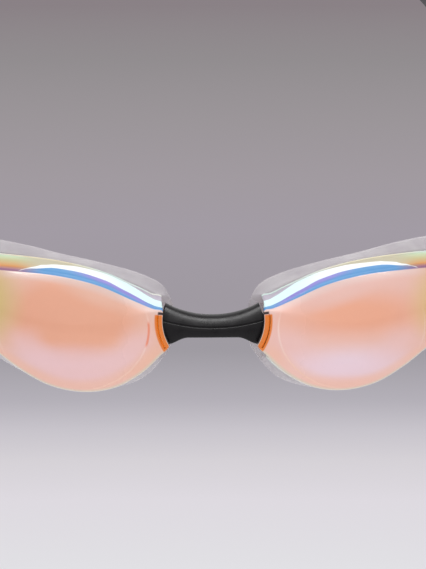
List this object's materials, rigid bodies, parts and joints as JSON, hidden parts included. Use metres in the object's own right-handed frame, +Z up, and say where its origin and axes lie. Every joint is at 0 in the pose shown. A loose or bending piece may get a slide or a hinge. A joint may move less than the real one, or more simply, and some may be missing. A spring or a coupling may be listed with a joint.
{
  "type": "swim goggles",
  "caption": "Low-profile swim goggles with mirrored wrap lenses, soft seals, a slim nose bridge and a split strap with side clips and a rear clasp.",
  "frame": {"origin": "where the goggles meet the face: between the eyecups, level with the bridge, in the plane of the seals' nose ends", "axes": "+X the viewer's right, +Y from the lenses to the back of the head, +Z up"},
  "size_m": [0.1588, 0.1912, 0.1523],
  "materials": {
    "mirror_lens": "clear polycarbonate with a copper, iridescent mirror coat",
    "frosted_silicone": "frosted see-through silicone",
    "clear_plastic": "clear polycarbonate",
    "black_plastic": "satin moulded nylon",
    "orange_plastic": "satin moulded plastic",
    "strap_silicone": "matt silicone",
    "steel_pin": "turned"
  },
  "bodies": {
    "bridge": {"nose_bridge": "black_plastic"},
    "left_cup": {"left_lens": "mirror_lens", "left_seat_ring": "clear_plastic", "left_gasket": "frosted_silicone", "left_bridge_insert": "orange_plastic", "left_temple_arm": "clear_plastic"},
    "left_strap": {"left_clip_pin": "steel_pin", "left_strap_clip": "black_plastic", "left_strap_yoke": "strap_silicone", "left_upper_band": "strap_silicone", "left_lower_band": "strap_silicone", "clasp_base": "black_plastic", "clasp_pin": "steel_pin"},
    "left_lever": {"left_clip_lever": "orange_plastic"},
    "right_cup": {"right_lens": "mirror_lens", "right_seat_ring": "clear_plastic", "right_gasket": "frosted_silicone", "right_bridge_insert": "orange_plastic", "right_temple_arm": "clear_plastic"},
    "right_strap": {"right_clip_pin": "steel_pin", "right_strap_clip": "black_plastic", "right_strap_yoke": "strap_silicone", "right_upper_band": "strap_silicone", "right_lower_band": "strap_silicone"},
    "right_lever": {"right_clip_lever": "orange_plastic"},
    "clasp_cover": {"clasp_cover": "black_plastic"}
  },
  "joints": [
    {"name": "left_cup_flex", "type": "hinge", "parent": "bridge", "child": "left_cup", "pos_m": [-0.0122, -0.009, -0.001], "axis": [0, 0, -1], "range_deg": [-6, 6], "stiffness_Nm_per_rad": 0.4},
    {"name": "left_clip_swivel", "type": "hinge", "parent": "left_cup", "child": "left_strap", "pos_m": [-0.0755, 0.01, 0.008], "axis": [0, 0, -1], "range_deg": [-6, 6]},
    {"name": "left_lever_lift", "type": "hinge", "parent": "left_strap", "child": "left_lever", "pos_m": [-0.0786, 0.01537, 0.01129], "axis": [0, -0.5225, 0.8526], "range_deg": [0, 35], "stiffness_Nm_per_rad": 0.01},
    {"name": "right_cup_flex", "type": "hinge", "parent": "bridge", "child": "right_cup", "pos_m": [0.0122, -0.009, -0.001], "axis": [0, 0, 1], "range_deg": [-6, 6], "stiffness_Nm_per_rad": 0.4},
    {"name": "right_clip_swivel", "type": "hinge", "parent": "right_cup", "child": "right_strap", "pos_m": [0.0755, 0.01, 0.008], "axis": [0, 0, 1], "range_deg": [-6, 6]},
    {"name": "right_lever_lift", "type": "hinge", "parent": "right_strap", "child": "right_lever", "pos_m": [0.0786, 0.01537, 0.01129], "axis": [0, 0.5225, -0.8526], "range_deg": [0, 35], "stiffness_Nm_per_rad": 0.01},
    {"name": "clasp_open", "type": "hinge", "parent": "left_strap", "child": "clasp_cover", "pos_m": [0, 0.1725, 0.13168], "axis": [1, 0, 0], "range_deg": [0, 75]}
  ],
  "couplings": [
    {"joint": "right_cup_flex", "follows": "left_cup_flex", "ratio": 1},
    {"joint": "left_clip_swivel", "follows": "left_cup_flex", "ratio": -1},
    {"joint": "right_clip_swivel", "follows": "left_cup_flex", "ratio": -1}
  ]
}
